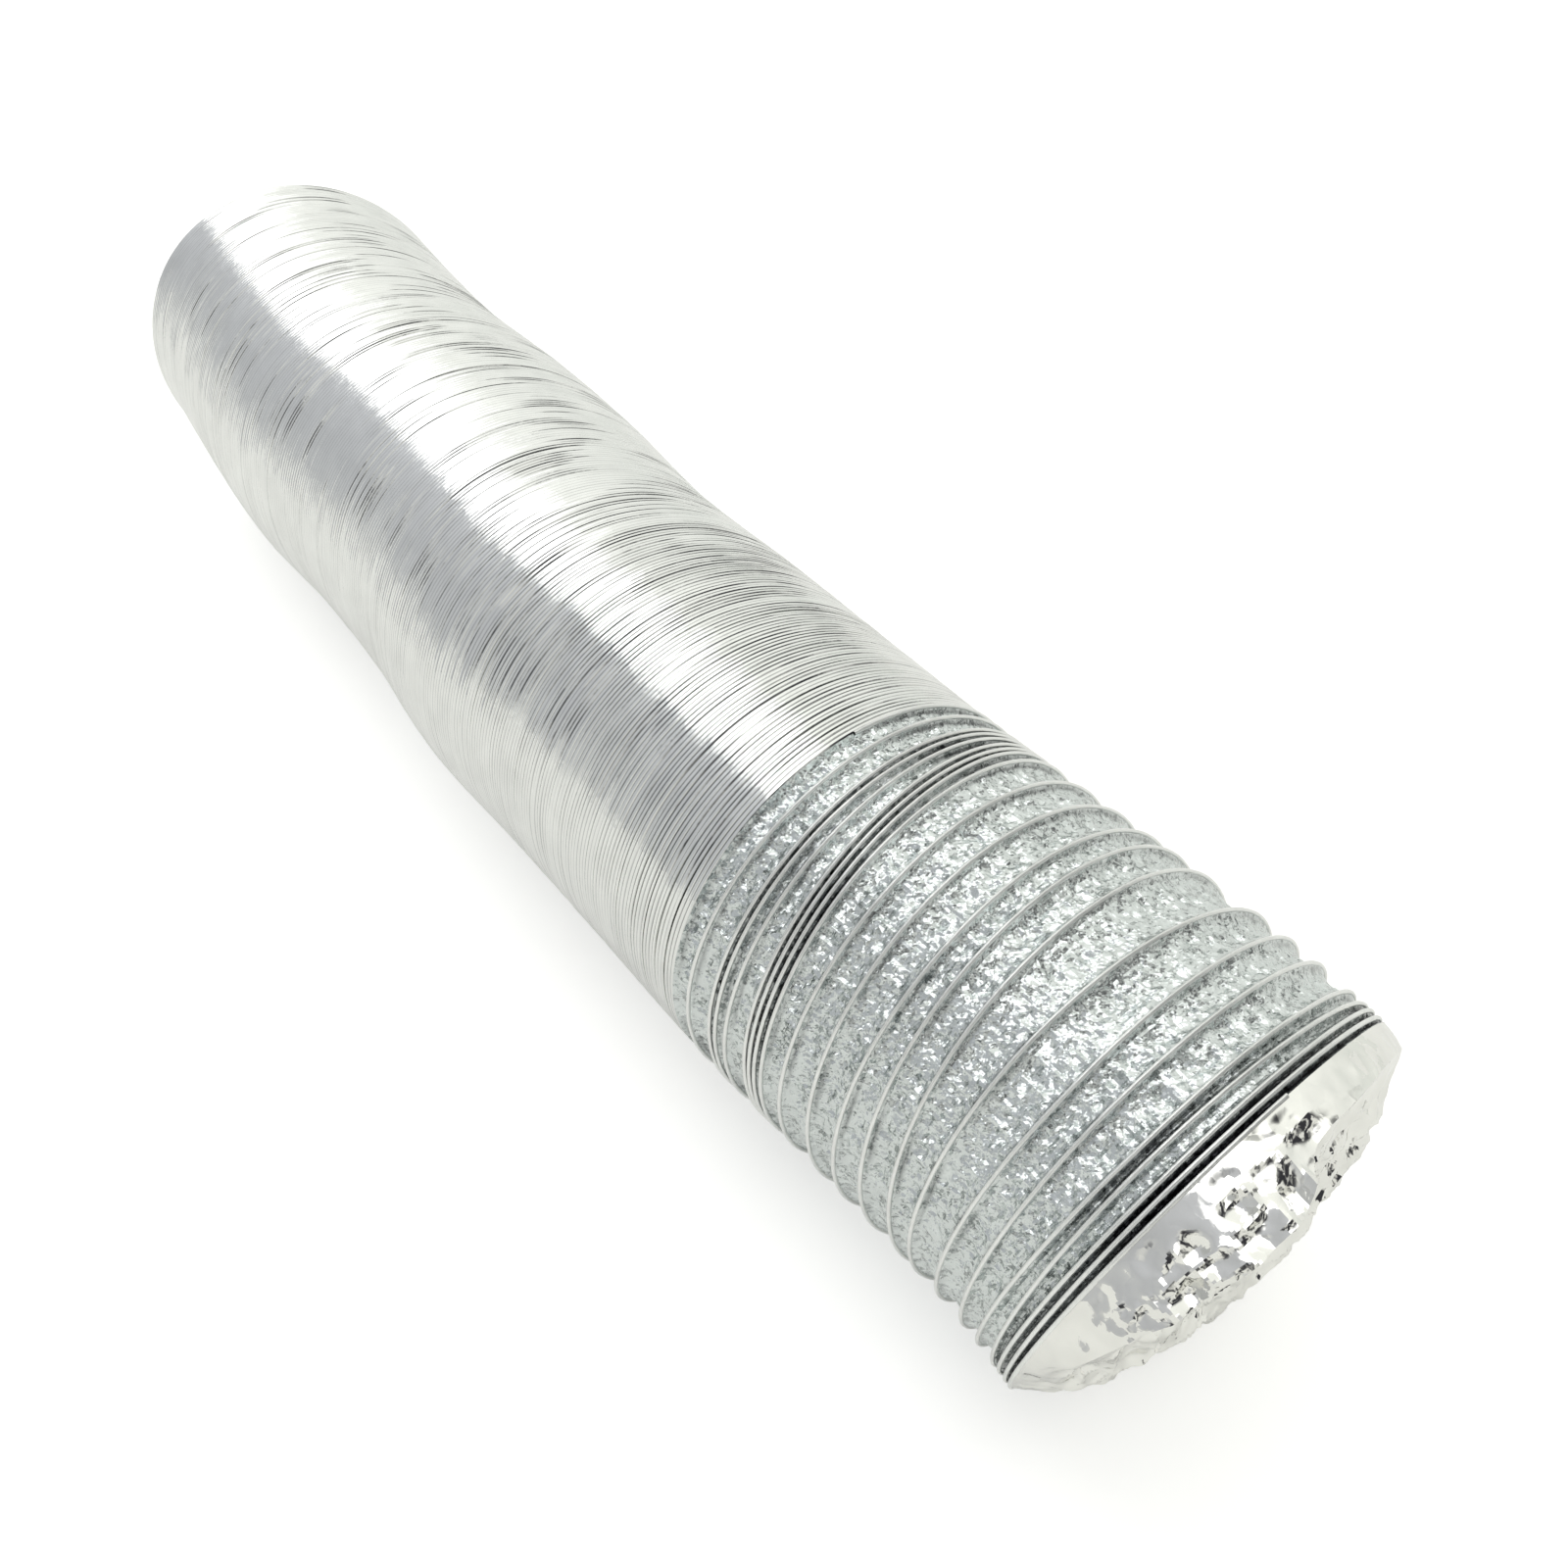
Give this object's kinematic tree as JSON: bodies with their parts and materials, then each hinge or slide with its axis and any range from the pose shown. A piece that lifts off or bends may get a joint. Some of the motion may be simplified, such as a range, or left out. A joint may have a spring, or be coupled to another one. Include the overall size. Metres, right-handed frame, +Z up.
{
  "type": "flexible aluminium duct",
  "caption": "Flexible foil ventilation duct on a spring wire, most turns packed together and the last ones pulled out, open at one end.",
  "frame": {"origin": "on the floor, under the middle of the duct", "axes": "+X along the duct from the open far end to the foil-covered mouth, +Z up from the floor that it lies on"},
  "size_m": [0.4424, 0.104, 0.1041],
  "materials": {
    "foil": "bright crinkled aluminium foil laminate",
    "wire": "spring steel wire under a bright foil ply"
  },
  "bodies": {
    "root": {"foil_skin": "foil", "spring_wire": "wire"}
  },
  "joints": []
}
